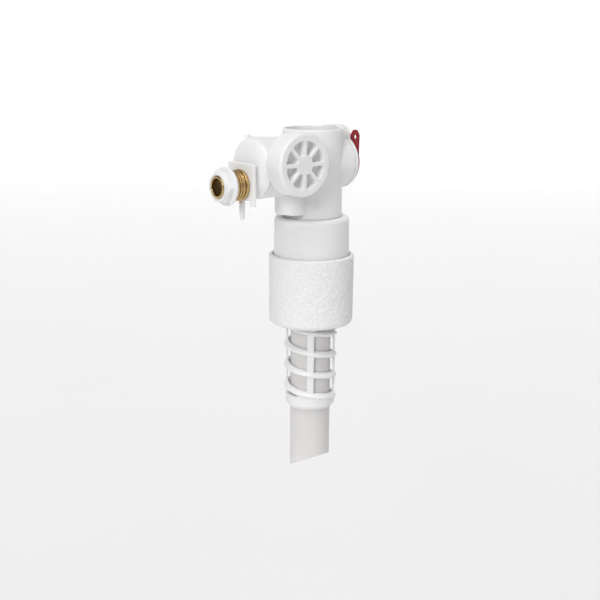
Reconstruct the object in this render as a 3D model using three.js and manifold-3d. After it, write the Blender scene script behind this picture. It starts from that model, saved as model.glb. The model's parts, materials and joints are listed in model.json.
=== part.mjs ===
// A toilet fill valve with a side inlet: a horizontal pressure vessel through an open-topped tower,
// a ribbed service cap over the diaphragm, a foam float round a hood, and a threaded cage stem that
// slides on the down tube and works a pilot lever inside the tower.
// Millimetres, +Z up. Heights are measured from the lowest tip of the down tube and x, y from the
// tower's axis; the last group moves the origin to the face that is clamped to the cistern.
import * as THREE from 'three';
import { mergeVertices } from 'three/addons/utils/BufferGeometryUtils.js';
import Module from 'manifold-3d';

const wasm = await Module();
wasm.setup();

const GAP = 0.3;
const SIDES = 32;

const TOWER = { outer: 23.3, bore: 21, top: 279, floor: 229, socketTop: 226, bottom: 211.3 };
const SPIGOT = { radius: 22, bead: 22.8, bottom: 204.6, beadTop: 207.4 };
const TUBE = { outer: 16, inner: 14.5, top: 224.2, cutMiddle: 8.5, cutSlope: 0.53 };
const HOOD = { top: 211, bottom: 160, outerTop: 29.2, outerBottom: 29.8, inner: 27.5, plate: 3 };
const FLOAT = { top: 181.1, bottom: 125.4, outerTop: 33.6, outerBottom: 33.2, cup: 30.1, cupFloor: 137.3 };
const FLOAT_BORE = 24.6;
const STEM = { bottom: 56.4, collarTop: 64, top: 191.5, bore: 16.45, slatInner: 18, slatOuter: 19.7 };
const THREAD = { pitch: 17.25, crest: 21.2, root: 19.5, band: 16.7, phase: 107.7, end: 157 };

const DRUM = { z: 252, radius: 22.3, band: 22.9, bandEnd: -43.7, bore: 19.6, left: -57.4, blind: -28 };
const RIB_LEAN = 22;
const COVER = { face: -59.6, crown: -64.4, back: -57.7, spigotEnd: -52, collar: 12.2, collarEnd: -66.6 };
const BOSS = { x: -40.6, z: 257, collar: 15.3, collarEnd: 22, neck: 18.6, neckEnd: 27, throat: 12.5, bore: 15 };
const CAP = { outer: 23.4, back: 23.3, face: 40, skirt: 19, ribs: 8, hub: 7.4, rim: 17.4, pocket: 34.5 };
const INLET = { z: 240.7, shank: 8.33, bore: 6.4, clamp: -80.4, collar: 11.75, mouth: -91 };
const PLATE = { face: -69.1, back: -66.9, wide: 31, tall: 26.6, rise: 3, tongue: 16, clear: 0.5 };
const NUT = { back: -81.7, front: -90.5, flange: 14.45, flangeEnd: -84, body: 11.9, ring: 10.45, bore: 8.42 };
const END = { radius: 20.5, stub: 27.2, cover: 20.9, coverIn: 27.5, coverOut: 30, hoodTop: 280.2 };
const SPINDLE = { radius: 4, hole: 4.06, tip: 22.9, head: 33.2 };
const LEVER = { inner: 30.3, outer: 32.1, disc: 19, hole: [14.5, 19.4], holeRadius: 1.8 };
const ROD = { x: 16.45, y: 9.5, radius: 1.3, bottom: 186.8, top: 256 };
const PIVOT = { x: -10, z: 258, pin: 1.2, hole: 1.26, hub: 3 };
const PILOT = { z: 262.5, tip: -17, root: -22.9, radius: 1.8, closeDeg: 24.4 };
const DUCT = { x: -18, radius: 15, wall: 2.5, bottom: 215, top: 236 };

// ---- solid geometry -------------------------------------------------------------------------

// Turns a three.js geometry into a closed solid that faces outwards.
function solid(geometry) {
  const bare = new THREE.BufferGeometry();
  bare.setAttribute('position', geometry.getAttribute('position'));
  if (geometry.index) bare.setIndex(geometry.index);
  const merged = mergeVertices(bare, 1e-3);
  const index = merged.index.array;
  const corners = [];
  for (let i = 0; i < index.length; i += 3) {
    const [a, b, c] = [index[i], index[i + 1], index[i + 2]];
    if (a !== b && b !== c && c !== a) corners.push(a, b, c);
  }
  const vertProperties = Float32Array.from(merged.getAttribute('position').array);
  const make = (list) => new wasm.Manifold(
    new wasm.Mesh({ numProp: 3, vertProperties, triVerts: Uint32Array.from(list) }));
  const body = make(corners);
  return body.volume() > 0 ? body : make(corners.reverse());
}

// Turns a solid back into a geometry.
function geometryOf(body) {
  const mesh = body.getMesh();
  const geometry = new THREE.BufferGeometry();
  geometry.setAttribute('position', new THREE.BufferAttribute(mesh.vertProperties, 3));
  geometry.setIndex(new THREE.BufferAttribute(mesh.triVerts, 1));
  geometry.computeVertexNormals();
  return geometry;
}

// A solid of revolution about +Z from [radius, height] points.
function turned(profile, sides = SIDES) {
  const points = profile.map(([r, z]) => new THREE.Vector2(r, z));
  points.push(points[0].clone());
  return new THREE.LatheGeometry(points, sides).rotateX(Math.PI / 2);
}

// A plain ring or disc about +Z.
function ring(inner, outer, low, high, sides = SIDES) {
  return turned([[inner, low], [outer, low], [outer, high], [inner, high]], sides);
}

// A ring of round section about +Z, such as an O-ring.
function roundRing(radius, wire, z, sides = 28, steps = 6) {
  const profile = [];
  for (let i = 0; i < steps; i += 1) {
    const a = (2 * Math.PI * i) / steps;
    profile.push([radius + wire * Math.cos(a), z + wire * Math.sin(a)]);
  }
  return turned(profile, sides);
}

// A flat outline pulled up along +Z.
function pulled(shape, low, high, curve = 12) {
  const settings = { depth: high - low, bevelEnabled: false, curveSegments: curve };
  return new THREE.ExtrudeGeometry(shape, settings).translate(0, 0, low);
}

function block(x, y, z) {
  const geometry = new THREE.BoxGeometry(x[1] - x[0], y[1] - y[0], z[1] - z[0]);
  return geometry.translate((x[0] + x[1]) / 2, (y[0] + y[1]) / 2, (z[0] + z[1]) / 2);
}

function rectangle(wide, tall, corner) {
  const shape = new THREE.Shape();
  const [x, y] = [wide / 2, tall / 2];
  shape.moveTo(-x + corner, -y);
  shape.lineTo(x - corner, -y);
  shape.absarc(x - corner, -y + corner, corner, -Math.PI / 2, 0);
  shape.lineTo(x, y - corner);
  shape.absarc(x - corner, y - corner, corner, 0, Math.PI / 2);
  shape.lineTo(-x + corner, y);
  shape.absarc(-x + corner, y - corner, corner, Math.PI / 2, Math.PI);
  shape.lineTo(-x, -y + corner);
  shape.absarc(-x + corner, -y + corner, corner, Math.PI, 1.5 * Math.PI);
  return shape;
}

// A slice of a ring between two angles.
function sector(inner, outer, from, to) {
  const shape = new THREE.Shape();
  shape.absarc(0, 0, outer, from, to, false);
  shape.absarc(0, 0, inner, to, from, true);
  return shape;
}

// The two axes that are not vertical: alongX sends +Z to +X, forward sends +Z to -Y.
function alongX(geometry, y, z) {
  return geometry.rotateY(Math.PI / 2).translate(0, y, z);
}

function forward(geometry, x, z) {
  return geometry.rotateX(Math.PI / 2).translate(x, 0, z);
}

// A path that winds about +Z; a negative pitch winds left-handed. Its frames keep an outline's x
// pointing straight out from the axis and its y along the axis.
class Helix extends THREE.Curve {
  constructor(radius, pitch, start, turns, angle) {
    super();
    Object.assign(this, { radius, pitch, start, turns, angle });
  }

  getPoint(t, target = new THREE.Vector3()) {
    const a = this.angle + 2 * Math.PI * this.turns * t;
    const z = this.start + this.pitch * this.turns * t;
    return target.set(this.radius * Math.cos(a), this.radius * Math.sin(a), z);
  }

  computeFrenetFrames(segments) {
    const frames = { tangents: [], normals: [], binormals: [] };
    for (let i = 0; i <= segments; i += 1) {
      const a = this.angle + (2 * Math.PI * this.turns * i) / segments;
      frames.tangents.push(new THREE.Vector3(-Math.sin(a), Math.cos(a), 0));
      frames.normals.push(new THREE.Vector3(Math.cos(a), Math.sin(a), 0));
      frames.binormals.push(new THREE.Vector3(0, 0, 1));
    }
    return frames;
  }
}

function circle(radius, hole = 0) {
  const shape = new THREE.Shape();
  shape.absarc(0, 0, radius, 0, 2 * Math.PI, false);
  if (hole) {
    const path = new THREE.Path();
    path.absarc(0, 0, hole, 0, 2 * Math.PI, true);
    shape.holes.push(path);
  }
  return shape;
}

// An outline wound along a helix.
function wound(curve, shape, stepsPerTurn, facets = 3) {
  const steps = Math.round(stepsPerTurn * curve.turns);
  const settings = { steps, extrudePath: curve, bevelEnabled: false, curveSegments: facets };
  return new THREE.ExtrudeGeometry(shape, settings);
}

function polygon(points) {
  return new THREE.Shape(points.map(([x, y]) => new THREE.Vector2(x, y)));
}

// ---- materials ------------------------------------------------------------------------------

const COLOURS = {
  white: { color: 0xeeedea, roughness: 0.42, metalness: 0 },
  tubeWhite: { color: 0xe8e5e1, roughness: 0.4, metalness: 0 },
  foam: { color: 0xf4f4f2, roughness: 0.85, metalness: 0 },
  brass: { color: 0xb08a4a, roughness: 0.3, metalness: 1 },
  red: { color: 0xb01f2c, roughness: 0.45, metalness: 0 },
  rubber: { color: 0x24211f, roughness: 0.75, metalness: 0 },
  fibre: { color: 0xd9d5cc, roughness: 0.8, metalness: 0 },
  steel: { color: 0xb9bcc0, roughness: 0.3, metalness: 1 },
  grey: { color: 0xa9adb0, roughness: 0.5, metalness: 0 },
};

function named(name, colour, shape) {
  const geometry = shape.isBufferGeometry ? geometryOf(solid(shape)) : geometryOf(shape);
  const mesh = new THREE.Mesh(geometry, new THREE.MeshStandardMaterial(COLOURS[colour]));
  mesh.name = name;
  return mesh;
}

// ---- the body and what is fixed to it ---------------------------------------------------------

// The vertical tower, its hood spigot, the vessel, the diaphragm boss and the right-hand stub.
function bodyOutside() {
  const tower = solid(turned([[0, SPIGOT.bottom], [SPIGOT.bead - 0.8, SPIGOT.bottom],
    [SPIGOT.bead, SPIGOT.bottom + 1.2], [SPIGOT.bead, SPIGOT.beadTop - 0.6],
    [SPIGOT.radius, SPIGOT.beadTop], [SPIGOT.radius, TOWER.bottom],
    [TOWER.outer, TOWER.bottom], [TOWER.outer, TOWER.top - 0.8],
    [TOWER.outer - 0.8, TOWER.top], [0, TOWER.top]]));
  const vessel = solid(alongX(turned([[0, DRUM.left], [DRUM.band - 0.6, DRUM.left],
    [DRUM.band, DRUM.left + 0.6], [DRUM.band, DRUM.bandEnd], [DRUM.radius, DRUM.bandEnd + 0.6],
    [DRUM.radius, -6], [0, -6]]), 0, DRUM.z));
  const boss = solid(forward(turned([[0, 4], [BOSS.collar, 4], [BOSS.collar, BOSS.collarEnd],
    [BOSS.neck, BOSS.collarEnd], [BOSS.neck, BOSS.neckEnd - 0.8],
    [BOSS.neck - 0.8, BOSS.neckEnd], [0, BOSS.neckEnd]]), BOSS.x, BOSS.z));
  const beside = solid(block([DRUM.left, 0], [-60, 60], [200, 300]));
  const stub = solid(alongX(ring(0, END.radius, 6, END.stub), 0, DRUM.z));
  const duct = solid(ring(0, DUCT.radius, DUCT.bottom, DUCT.top).translate(DUCT.x, 0, 0));
  const passageRib = solid(forward(ring(0, 2.4, 15, BOSS.collarEnd + 0.4, 20), passageX(), PILOT.z));
  return tower.add(vessel).add(boss.intersect(beside)).add(stub).add(solid(hoodOverEnd(14, END.stub)))
    .add(solid(topRib())).add(duct).add(passageRib);
}

// The raised hood over the right-hand end, between two stations along x.
function hoodOverEnd(from, to) {
  const shape = new THREE.Shape();
  const [left, right, low, high] = [-12.3, 10.8, 8, END.hoodTop - DRUM.z];
  const [tight, broad] = [4.5, 9];
  shape.moveTo(left, low);
  shape.lineTo(right, low);
  shape.lineTo(right, high - broad);
  shape.absarc(right - broad, high - broad, broad, 0, Math.PI / 2);
  shape.lineTo(left + tight, high);
  shape.absarc(left + tight, high - tight, tight, Math.PI / 2, Math.PI);
  return acrossX(pulled(shape, -to, -from, 5), DRUM.z);
}

// Stands an outline drawn as (-Y, height) upright, its pull running along -X.
function acrossX(geometry, z) {
  const basis = new THREE.Matrix4().makeBasis(
    new THREE.Vector3(0, -1, 0), new THREE.Vector3(0, 0, 1), new THREE.Vector3(-1, 0, 0));
  return geometry.applyMatrix4(basis).translate(0, 0, z);
}

// The rib along the vessel, just behind its top, with a small lug at its outer end.
function topRib() {
  const shape = new THREE.Shape();
  const top = DRUM.z + DRUM.band;
  shape.moveTo(DRUM.left, top - 3);
  shape.lineTo(DRUM.left, top + 2.8);
  shape.lineTo(DRUM.left + 4, top + 2.8);
  shape.lineTo(DRUM.left + 5, top + 1.2);
  shape.lineTo(-30, top - 0.6);
  shape.lineTo(-30, top - 3);
  return pulled(shape, -1.4, 1.4).rotateX(Math.PI / 2).translate(0, 0, -DRUM.z)
    .rotateX((-RIB_LEAN * Math.PI) / 180).translate(0, 0, DRUM.z);
}

// Everything hollow in the body.
function bodyInside() {
  const bore = solid(ring(0, TOWER.bore, TOWER.floor, TOWER.top + 10));
  const funnel = solid(turned([[0, TOWER.socketTop - 1], [TUBE.inner, TOWER.socketTop - 1],
    [TUBE.inner, TOWER.socketTop], [TUBE.inner + 2, TOWER.floor + 1], [0, TOWER.floor + 1]]));
  const socket = solid(ring(0, TUBE.outer + 0.2, SPIGOT.bottom - 5, TOWER.socketTop));
  const rodHole = solid(ring(0, ROD.radius + 0.35, 190, 240, 20).translate(ROD.x, ROD.y, 0));
  const vessel = solid(alongX(ring(0, DRUM.bore, DRUM.left - 5, DRUM.blind), 0, DRUM.z));
  const chamber = solid(forward(turned([[0, 6], [BOSS.throat, 6], [BOSS.throat, 23.4],
    [BOSS.bore, 24], [BOSS.bore, BOSS.neckEnd + 5], [0, BOSS.neckEnd + 5]]), BOSS.x, BOSS.z));
  const outlet = solid(alongX(ring(0, 6.85, DRUM.blind - 2, -15, 32), 0, INLET.z));
  const ringGroove = solid(forward(ring(16.9, 20, 24.4, 26.2), BOSS.x, BOSS.z));
  const pin = solid(ring(0, PIVOT.hole, -20.2, 20.2, 20).rotateX(Math.PI / 2)
    .translate(PIVOT.x, 0, PIVOT.z));
  const spindle = solid(alongX(ring(0, SPINDLE.hole, SPINDLE.tip - 0.3, 40, 32), 0, DRUM.z));
  const pocket = solid(ring(0, DUCT.radius - DUCT.wall, 200, 226).translate(DUCT.x, 0, 0));
  const duct = pocket.subtract(solid(ring(0, TOWER.outer - 0.7, 190, 240, 40)));
  return bore.add(funnel).add(socket).add(rodHole).add(vessel).add(chamber).add(outlet)
    .add(ringGroove).add(pin).add(spindle).add(duct).add(pilotPassage());
}

// The pilot passage runs forward beside the chamber, level with the pilot nozzle.
function passageX() {
  return BOSS.x + Math.sqrt(16.6 ** 2 - (PILOT.z - BOSS.z) ** 2);
}

// The passage from the diaphragm's front chamber to the pilot nozzle.
function pilotPassage() {
  const x = passageX();
  const along = solid(forward(ring(0, 1.2, -1, 30, 16), x, PILOT.z));
  const across = solid(alongX(ring(0, PILOT.radius + 0.1, x, -18, 20), 0, PILOT.z));
  return along.add(across);
}

function valveBody() {
  return named('valve_body', 'white', bodyOutside().subtract(bodyInside()));
}

// The closed-topped hood that the float rides on.
function hood() {
  const low = HOOD.top - HOOD.plate;
  const round = [];
  for (let i = 0; i <= 4; i += 1) {
    const a = (Math.PI / 2) * (i / 4);
    round.push([HOOD.outerTop - 3 + 3 * Math.cos(a), HOOD.top - 3 + 3 * Math.sin(a)]);
  }
  return named('hood', 'white', turned([[HOOD.inner, HOOD.bottom], [HOOD.outerBottom, HOOD.bottom],
    ...round, [SPIGOT.radius + GAP, HOOD.top], [SPIGOT.radius + GAP, low + 0.6],
    [HOOD.inner - 1, low + 0.6], [HOOD.inner, low - 1]]));
}

// The left-hand end of the vessel, with the eccentric collar for the inlet.
function inletCover() {
  const disc = solid(alongX(turned([[0, COVER.crown], [8, COVER.crown + 0.4], [13, COVER.crown + 1.2],
    [17.5, COVER.crown + 2.4], [20.6, COVER.crown + 3.8], [22.2, COVER.crown + 5],
    [DRUM.band, COVER.crown + 5.9], [DRUM.band, COVER.back], [DRUM.bore - GAP, COVER.back], [DRUM.bore - GAP, COVER.spigotEnd],
    [0, COVER.spigotEnd]]), 0, DRUM.z));
  const hollow = solid(alongX(ring(0, DRUM.bore - 3, COVER.back + 0.6, -40), 0, DRUM.z));
  const collar = solid(alongX(ring(0, COVER.collar, COVER.collarEnd, COVER.face + 0.5), 0, INLET.z));
  const bore = solid(alongX(ring(0, INLET.shank + 0.25, -80, -58.6), 0, INLET.z));
  const way = solid(alongX(ring(0, INLET.bore, -80, COVER.back + 0.8), 0, INLET.z));
  const groove = solid(alongX(ring(17.6, 22, -55.9, -53.7), 0, DRUM.z));
  return named('inlet_cover', 'white',
    disc.subtract(hollow).add(collar).subtract(bore).subtract(way).subtract(groove));
}

function inletCoverRing() {
  return named('inlet_cover_o_ring', 'rubber', alongX(roundRing(18.55, 0.85, -54.8), 0, DRUM.z));
}

// The square plate that stops the valve turning in the cistern, with its locating tongue.
function antiRotationPlate() {
  const sheet = solid(acrossX(pulled(rectangle(PLATE.wide, PLATE.tall, 1.5), -PLATE.back, -PLATE.face, 3),
    INLET.z + PLATE.rise));
  const hole = solid(alongX(ring(0, INLET.shank + 0.25, -90, -50), 0, INLET.z));
  const low = INLET.z + PLATE.rise - PLATE.tall / 2;
  const middle = (PLATE.face + PLATE.back) / 2;
  const end = low - PLATE.tongue;
  const tongue = solid(turned([[0, end], [1.1, end + 0.25], [1.8, end + 1.1], [2, end + 2.2],
    [2.45, low + 2], [0, low + 2]], 20).translate(middle, 0, 0));
  const lug = solid(block([PLATE.face, PLATE.back], [-PLATE.wide / 2, 5 - PLATE.wide / 2],
    [low - 4.5, low + 3]));
  const within = solid(block([PLATE.face, PLATE.back], [-5, 5], [200, 260]));
  const free = solid(block([-80, -60], [-5, 5], [200, INLET.z - COVER.collar - 0.5]));
  return named('anti_rotation_plate', 'white',
    sheet.add(tongue.intersect(within.add(free))).subtract(hole).add(lug));
}

// The brass inlet: a G 3/8 shank with a turned collar.
function inletNipple() {
  const rings = [];
  const [first, last, grooves] = [PLATE.face - PLATE.clear, INLET.clamp, 6];
  const step = (last - first) / grooves;
  for (let i = 0; i < grooves; i += 1) {
    const x = first + step * i;
    rings.push([INLET.collar - 0.9, x], [INLET.collar, x + step * 0.5]);
  }
  const tip = [[INLET.shank, last], [INLET.shank, INLET.mouth + 1], [INLET.shank - 0.8, INLET.mouth]];
  return named('inlet_nipple', 'brass', alongX(turned([[INLET.bore, -60.1], [INLET.shank, -60.1],
    [INLET.shank, first], ...rings, [INLET.collar - 0.9, last], ...tip,
    [INLET.bore, INLET.mouth]], 28), 0, INLET.z));
}

function inletGasket() {
  return named('inlet_gasket', 'rubber', alongX(ring(6.6, 8.3, -59.8, -58.8, 28), 0, INLET.z));
}

// A slotted basket inside the brass bore.
function inletFilter() {
  let basket = solid(alongX(turned([[0, -76], [5.4, -76], [5.4, -58.2], [6.1, -58.2], [6.1, -57],
    [4.6, -57], [4.6, -75.2], [0, -75.2]], 24), 0, INLET.z));
  const slots = 6;
  for (let i = 0; i < slots / 2; i += 1) {
    const slot = block([-73.5, -60.5], [-1, 1], [-8, 8]).rotateX((Math.PI * i) / (slots / 2));
    basket = basket.subtract(solid(slot.translate(0, 0, INLET.z)));
  }
  return named('inlet_filter', 'grey', basket);
}

// The disc that limits the flow, with a ring of small holes.
function flowRestrictor() {
  let disc = solid(alongX(ring(0, 6.1, -79.5, -77.5, 24), 0, INLET.z));
  const holes = 6;
  for (let i = 0; i < holes; i += 1) {
    const a = (2 * Math.PI * i) / holes;
    const hole = ring(0, 1, -82, -75, 10).translate(3.7 * Math.cos(a), 3.7 * Math.sin(a), 0);
    disc = disc.subtract(solid(alongX(hole, 0, INLET.z)));
  }
  return named('flow_restrictor', 'grey', disc);
}

// The pipe inside the vessel that carries water from the valve seat to the tower.
function outletElbow() {
  const path = new THREE.CatmullRomCurve3([
    new THREE.Vector3(BOSS.x, -21.9, BOSS.z), new THREE.Vector3(BOSS.x, -12, BOSS.z - 0.4),
    new THREE.Vector3(BOSS.x + 1, -4.5, BOSS.z - 6), new THREE.Vector3(BOSS.x + 6, -0.4, INLET.z + 2.5),
    new THREE.Vector3(-27.5, 0, INLET.z), new THREE.Vector3(-20.6, 0, INLET.z)]);
  const settings = { steps: 10, extrudePath: path, bevelEnabled: false, curveSegments: 6 };
  const pipe = solid(new THREE.ExtrudeGeometry(circle(6.3), settings));
  const inside = new THREE.ExtrudeGeometry(circle(4.9), settings);
  return named('outlet_elbow', 'grey', pipe.subtract(solid(inside)));
}

function valveSeat() {
  return named('valve_seat', 'steel', forward(turned([[4.9, 22.2], [7.6, 22.2], [7.6, 23],
    [6.2, 24], [5.4, 24], [4.9, 23.4]], 32), BOSS.x, BOSS.z));
}

// The rubber diaphragm, clamped at its rim, with a port for the pilot passage.
function diaphragm() {
  const disc = solid(forward(turned([[9.3, 25.2], [12.4, 25.6], [15.2, 27.3], [17.4, 27.3],
    [17.4, 29.2], [15, 29.2], [12, 27.2], [9.3, 26.6]], 28), BOSS.x, BOSS.z));
  const reach = PILOT.z - BOSS.z;
  const x = BOSS.x + Math.sqrt(16.3 ** 2 - reach ** 2);
  return named('diaphragm', 'rubber',
    disc.subtract(solid(forward(ring(0, 0.8, 20, 32, 12), x, PILOT.z))));
}

// The moving disc in the middle of the diaphragm.
function poppet() {
  return named('diaphragm_poppet', 'white', forward(turned([[0, 24.3], [8.4, 24.3], [9, 24.9],
    [9, 26.3], [5, 26.3], [5, 28.4], [4.2, 29], [0, 29]], 32), BOSS.x, BOSS.z));
}

function diaphragmSpring() {
  const curve = new Helix(6.4, 1.55, 27.1, 3, 0);
  return named('diaphragm_spring', 'steel', forward(wound(curve, circle(0.4), 16), BOSS.x, BOSS.z));
}

// The round service cap with radial ribs between a hub and a thick rim.
function starCap() {
  let cap = solid(turned([[0, 32.5], [14.5, 32.5], [14.5, 29.6], [CAP.skirt, 29.6],
    [CAP.skirt, CAP.back], [CAP.outer - 0.8, CAP.back], [CAP.outer, CAP.back + 0.8],
    [CAP.outer, CAP.face - 1.4], [CAP.outer - 0.5, CAP.face - 0.5], [CAP.outer - 1.4, CAP.face],
    [0, CAP.face]]));
  const spread = (2 * Math.PI) / CAP.ribs;
  for (let i = 0; i < CAP.ribs; i += 1) {
    const pocket = pulled(capPocket(spread), CAP.pocket, CAP.face + 5, 4);
    cap = cap.subtract(solid(pocket.rotateZ(spread * (i + 0.5))));
  }
  return named('star_cap', 'white', solid(forward(geometryOf(cap), BOSS.x, BOSS.z)));
}

// One pocket between two ribs, centred on +X.
function capPocket(spread) {
  const halfRib = 1.4;
  const outer = spread / 2 - Math.asin(halfRib / CAP.rim);
  const near = halfRib / Math.sin(spread / 2);
  const start = Math.max(near + 0.6, CAP.hub);
  const inner = spread / 2 - Math.asin(halfRib / start);
  const shape = new THREE.Shape();
  shape.absarc(0, 0, CAP.rim, -outer, outer, false);
  shape.absarc(0, 0, start, inner, -inner, true);
  return shape;
}

function starCapRing() {
  return named('star_cap_o_ring', 'rubber', forward(roundRing(17.9, 0.8, 25.3), BOSS.x, BOSS.z));
}

// ---- the clamping nut -------------------------------------------------------------------------

function backNut() {
  const nut = solid(alongX(turned([[NUT.bore, NUT.back], [NUT.flange - 0.6, NUT.back],
    [NUT.flange, NUT.back - 0.6], [NUT.flange, NUT.flangeEnd + 0.5],
    [NUT.flange - 0.6, NUT.flangeEnd], [NUT.body, NUT.flangeEnd - 0.4], [NUT.body, -88.2],
    [NUT.ring, -89.4], [NUT.ring, NUT.front + 0.4], [NUT.ring - 0.5, NUT.front],
    [NUT.bore, NUT.front]]), 0, INLET.z));
  const flats = solid(acrossX(pulled(hexagon(11.3), -NUT.flangeEnd + 0.4, 88.4, 2), INLET.z));
  const front = solid(block([-100, -88.2], [-20, 20], [200, 260]));
  const flange = solid(block([NUT.flangeEnd - 0.4, -70], [-20, 20], [200, 260]));
  return named('back_nut', 'white', nut.intersect(flats.add(front).add(flange)));
}

function hexagon(acrossHalf) {
  const shape = new THREE.Shape();
  const corner = acrossHalf / Math.cos(Math.PI / 6);
  for (let i = 0; i < 6; i += 1) {
    const a = (Math.PI / 3) * i;
    if (i === 0) shape.moveTo(corner * Math.cos(a), corner * Math.sin(a));
    else shape.lineTo(corner * Math.cos(a), corner * Math.sin(a));
  }
  shape.closePath();
  return shape;
}

function nutWasher() {
  return named('nut_washer', 'fibre', alongX(ring(8.8, 13.2, -81.4, -80.7), 0, INLET.z));
}

// ---- the right-hand end -----------------------------------------------------------------------

function endCover() {
  const disc = solid(alongX(turned([[0, END.coverIn], [END.cover, END.coverIn],
    [END.cover, END.coverOut - 0.8], [END.cover - 0.8, END.coverOut], [0, END.coverOut]]), 0, DRUM.z));
  const hole = solid(alongX(ring(0, SPINDLE.hole, 20, 40, 32), 0, DRUM.z));
  return named('end_cover', 'white',
    disc.add(solid(hoodOverEnd(END.coverIn, END.coverOut))).subtract(hole));
}

// The red lever: a disc behind the end cover with one teardrop tab.
function shutoffLever() {
  const shape = new THREE.Shape();
  const [low, high] = [(18 * Math.PI) / 180, (68 * Math.PI) / 180];
  shape.absarc(0, 0, LEVER.disc, low, high, true);
  shape.lineTo(12.4, 23.8);
  shape.quadraticCurveTo(14.8, 26, 16.8, 23.9);
  shape.lineTo(17.7, 22.5);
  shape.quadraticCurveTo(18.6, 21, 18.6, 18);
  const tab = solid(acrossX(pulled(shape, -LEVER.outer, -LEVER.inner, 16), DRUM.z));
  const hole = acrossX(pulled(circle(LEVER.holeRadius), -40, -20, 5).translate(...LEVER.hole, 0), DRUM.z);
  const pivot = alongX(ring(0, SPINDLE.hole, 20, 40, 32), 0, DRUM.z);
  return named('shutoff_lever', 'red', tab.subtract(solid(hole)).subtract(solid(pivot)));
}

function leverSpindle() {
  return named('lever_spindle', 'white', alongX(turned([[0, SPINDLE.tip], [SPINDLE.radius - 0.5, SPINDLE.tip],
    [SPINDLE.radius, SPINDLE.tip + 0.5], [SPINDLE.radius, SPINDLE.head], [6.4, SPINDLE.head],
    [6.4, SPINDLE.head + 0.8], [5.6, SPINDLE.head + 1.5], [0, SPINDLE.head + 1.5]], 32), 0, DRUM.z));
}

function leverWasher() {
  return named('lever_washer', 'steel', alongX(ring(4.3, 7, 32.4, 32.9, 32), 0, DRUM.z));
}

// ---- the pilot in the tower -------------------------------------------------------------------

function pilotNozzle() {
  return named('pilot_nozzle', 'steel', alongX(turned([[0.6, PILOT.root], [PILOT.radius, PILOT.root],
    [PILOT.radius, PILOT.tip - 1.4], [1.1, PILOT.tip], [0.6, PILOT.tip]], 20), 0, PILOT.z));
}

// Drawn with the pilot shut, then turned back to where it stands with the float down.
function openPilot(geometry) {
  geometry.translate(-PIVOT.x, 0, -PIVOT.z);
  geometry.rotateY((PILOT.closeDeg * Math.PI) / 180);
  return geometry.translate(PIVOT.x, 0, PIVOT.z);
}

function pilotLever() {
  const hub = solid(ring(0, PIVOT.hub, -12, 6, 24).rotateX(Math.PI / 2).translate(PIVOT.x, 0, PIVOT.z));
  const arm = solid(block([PIVOT.x, 19], [7, 12], [PIVOT.z - 1.5, PIVOT.z + 1.5]));
  const inside = solid(ring(0, 20.5, 240, 275));
  const post = solid(openPilot(block([-14.4, -12], [-3.2, 3.2], [PIVOT.z - 1, PILOT.z + 3.4])));
  const foot = solid(openPilot(block([-13, PIVOT.x], [-3.2, 3.2], [PIVOT.z - 1.5, PIVOT.z + 1.5])));
  const hole = solid(ring(0, PIVOT.hole, -30, 30, 20).rotateX(Math.PI / 2).translate(PIVOT.x, 0, PIVOT.z));
  return named('pilot_lever', 'white',
    hub.add(arm.intersect(inside)).add(post).add(foot).subtract(hole));
}

function pilotPin() {
  return named('pilot_lever_pin', 'steel', ring(0, PIVOT.pin, -19.9, 19.9, 20).rotateX(Math.PI / 2)
    .translate(PIVOT.x, 0, PIVOT.z));
}

function pilotSeal() {
  return named('pilot_seal', 'rubber',
    openPilot(alongX(ring(0, 2.5, -16.6, -14.7, 20), 0, PILOT.z)));
}

function pushRod() {
  const { radius: r, top } = ROD;
  return named('push_rod', 'white', turned([[0, ROD.bottom], [r, ROD.bottom], [r, top - r],
    [r * 0.87, top - r * 0.5], [r * 0.5, top - r * 0.13], [0, top]], 20).translate(ROD.x, ROD.y, 0));
}

// ---- the float, the stem and the tube -----------------------------------------------------------

function foamFloat() {
  const [outTop, outLow, edge] = [FLOAT.outerTop, FLOAT.outerBottom, 4.2];
  const round = (r, z, from) => {
    const points = [];
    for (let i = 0; i <= 4; i += 1) {
      const a = from + (Math.PI / 2) * (i / 4);
      points.push([r + edge * Math.cos(a), z + edge * Math.sin(a)]);
    }
    return points;
  };
  const crown = [];
  for (let i = 0; i <= 5; i += 1) {
    const a = (Math.PI / 2) * (i / 5);
    crown.push([outTop - 2.2 + 2.2 * Math.cos(a), FLOAT.top - 3.6 + 3.6 * Math.sin(a)]);
  }
  return named('float', 'foam', turned([[FLOAT_BORE, FLOAT.bottom],
    ...round(outLow - edge, FLOAT.bottom + edge, -Math.PI / 2), ...crown,
    [FLOAT.cup + 0.4, FLOAT.top], [FLOAT.cup, FLOAT.top - 0.8], [FLOAT.cup, FLOAT.cupFloor],
    [FLOAT_BORE, FLOAT.cupFloor]]));
}

// Height of the stem's thread at angle 0, the left-hand thread falling as the angle grows.
function threadHeight(turns) {
  return THREAD.phase + THREAD.pitch * (140 / 360) - THREAD.pitch * turns;
}

// The threaded liner of the float.
function floatInsert() {
  const liner = solid(ring(21.65, FLOAT_BORE - GAP, FLOAT.bottom + 0.2, FLOAT.cupFloor - 0.2));
  const middle = (FLOAT.bottom + FLOAT.cupFloor) / 2;
  const base = threadHeight(0) + THREAD.pitch / 2;
  const phase = (base - middle) / THREAD.pitch;
  const nearest = phase - Math.round(phase);
  const turns = 0.4;
  const start = middle + (THREAD.pitch * turns) / 2;
  const curve = new Helix(21.5, -THREAD.pitch, start, turns, 2 * Math.PI * (nearest - turns / 2));
  const lug = polygon([[-1.4, -1], [1, -1.8], [1, 1.8], [-1.4, 1]]);
  return named('float_insert', 'white', liner.add(solid(wound(curve, lug, 30))));
}

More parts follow.
